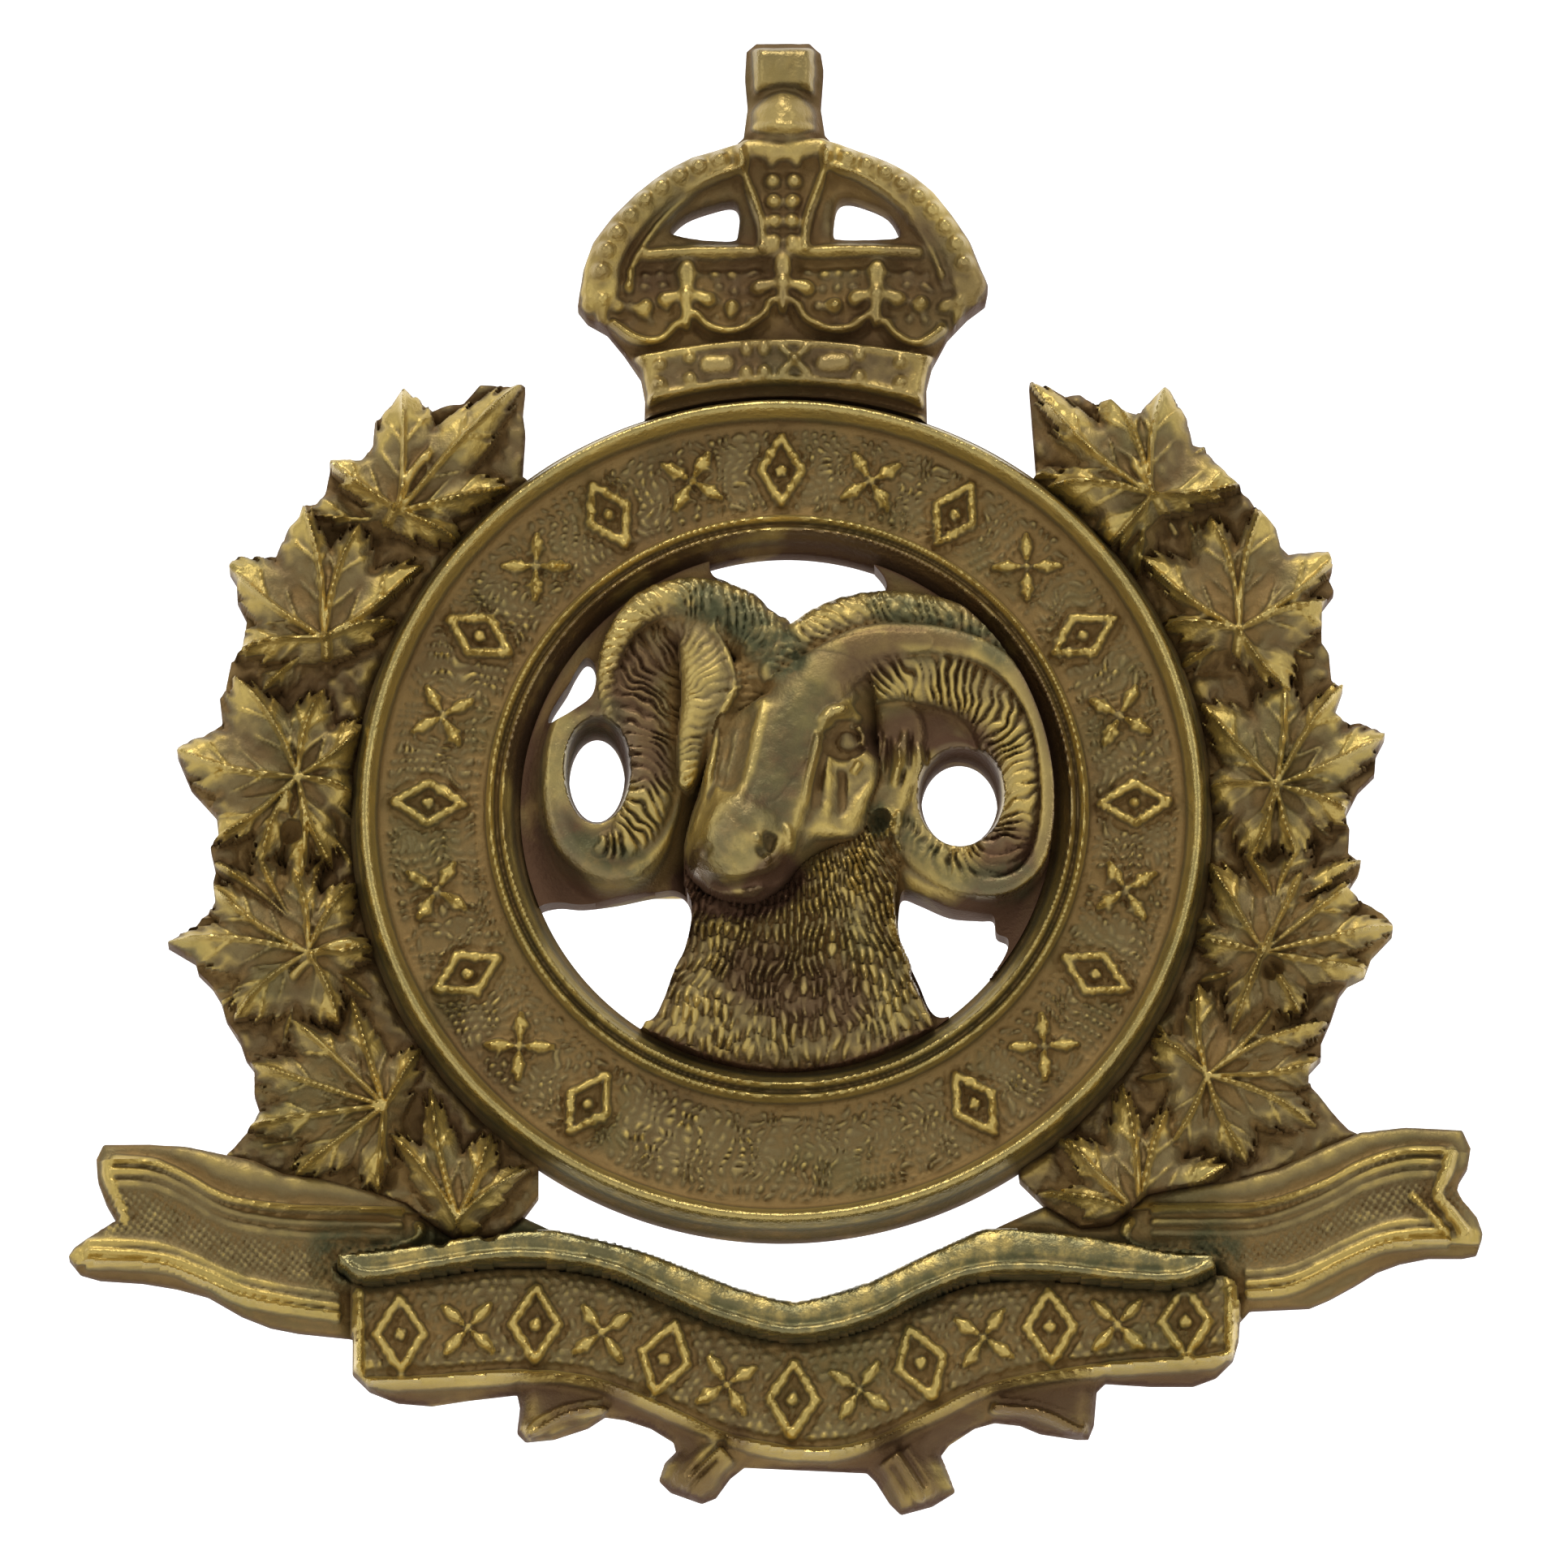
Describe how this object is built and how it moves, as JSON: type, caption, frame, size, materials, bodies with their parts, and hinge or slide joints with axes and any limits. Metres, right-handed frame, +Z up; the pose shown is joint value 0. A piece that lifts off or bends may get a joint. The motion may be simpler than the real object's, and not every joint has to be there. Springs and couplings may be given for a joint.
{
  "type": "cap badge",
  "caption": "Struck brass cap badge: a crown over a pierced circlet with a ram's head, a maple-leaf wreath and a folded scroll, held to a cap by wire lugs and a split pin.",
  "frame": {"origin": "centre of the circlet on the plane of the plate's back, midway across between the lugs, where the badge sits against the cap", "axes": "+Z up the badge to the crown, +X to the right of someone looking at the face, +Y out of the back into the cap, so the face looks along -Y"},
  "size_m": [0.0499, 0.0136, 0.0532],
  "materials": {
    "struck_brass": "aged gilding metal, dark in the recesses and rubbed bright on the high points",
    "lug_copper": "dull toned copper wire",
    "braze_alloy": "dull greyish braze",
    "pin_brass": "drawn brass wire, lightly toned"
  },
  "bodies": {
    "badge": {"badge_plate": "struck_brass", "lug_left": "lug_copper", "lug_left_upper_braze": "braze_alloy", "lug_left_lower_braze": "braze_alloy", "lug_right": "lug_copper", "lug_right_upper_braze": "braze_alloy", "lug_right_lower_braze": "braze_alloy"},
    "split_pin": {"split_pin": "pin_brass"}
  },
  "joints": [
    {"name": "pin_slide", "type": "slide", "parent": "badge", "child": "split_pin", "axis": [1, 0, 0], "range_m": [-0.034, 0]}
  ]
}
